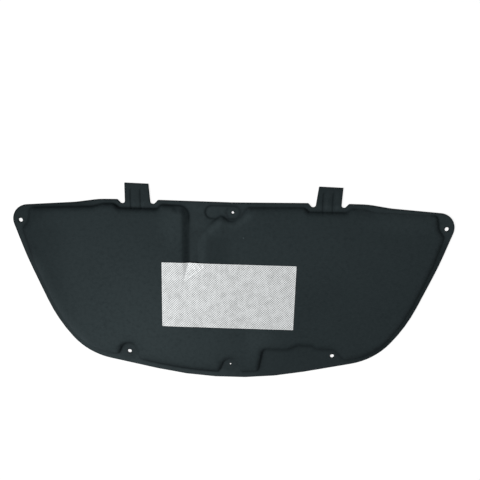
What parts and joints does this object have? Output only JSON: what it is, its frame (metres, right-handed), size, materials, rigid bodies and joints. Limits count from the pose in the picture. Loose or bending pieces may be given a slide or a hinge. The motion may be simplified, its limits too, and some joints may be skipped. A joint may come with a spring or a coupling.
{
  "type": "hood insulation pad",
  "caption": "Moulded felt insulation pad for the inside of a car bonnet, with thick fields inside a thin rim, hanging tabs, clip holes and a bonded foil heat patch.",
  "frame": {"origin": "middle of the pad's box, on its flat underside", "axes": "+X to the right along the pad's length, +Y towards the edge with the two hanging tabs, +Z out of the side that faces the engine"},
  "size_m": [1.229, 0.5817, 0.0127],
  "materials": {
    "felt": "matt needled felt, pressed",
    "foil": "finely embossed foil"
  },
  "bodies": {
    "root": {"felt_pad": "felt", "foil_patch": "foil"}
  },
  "joints": []
}
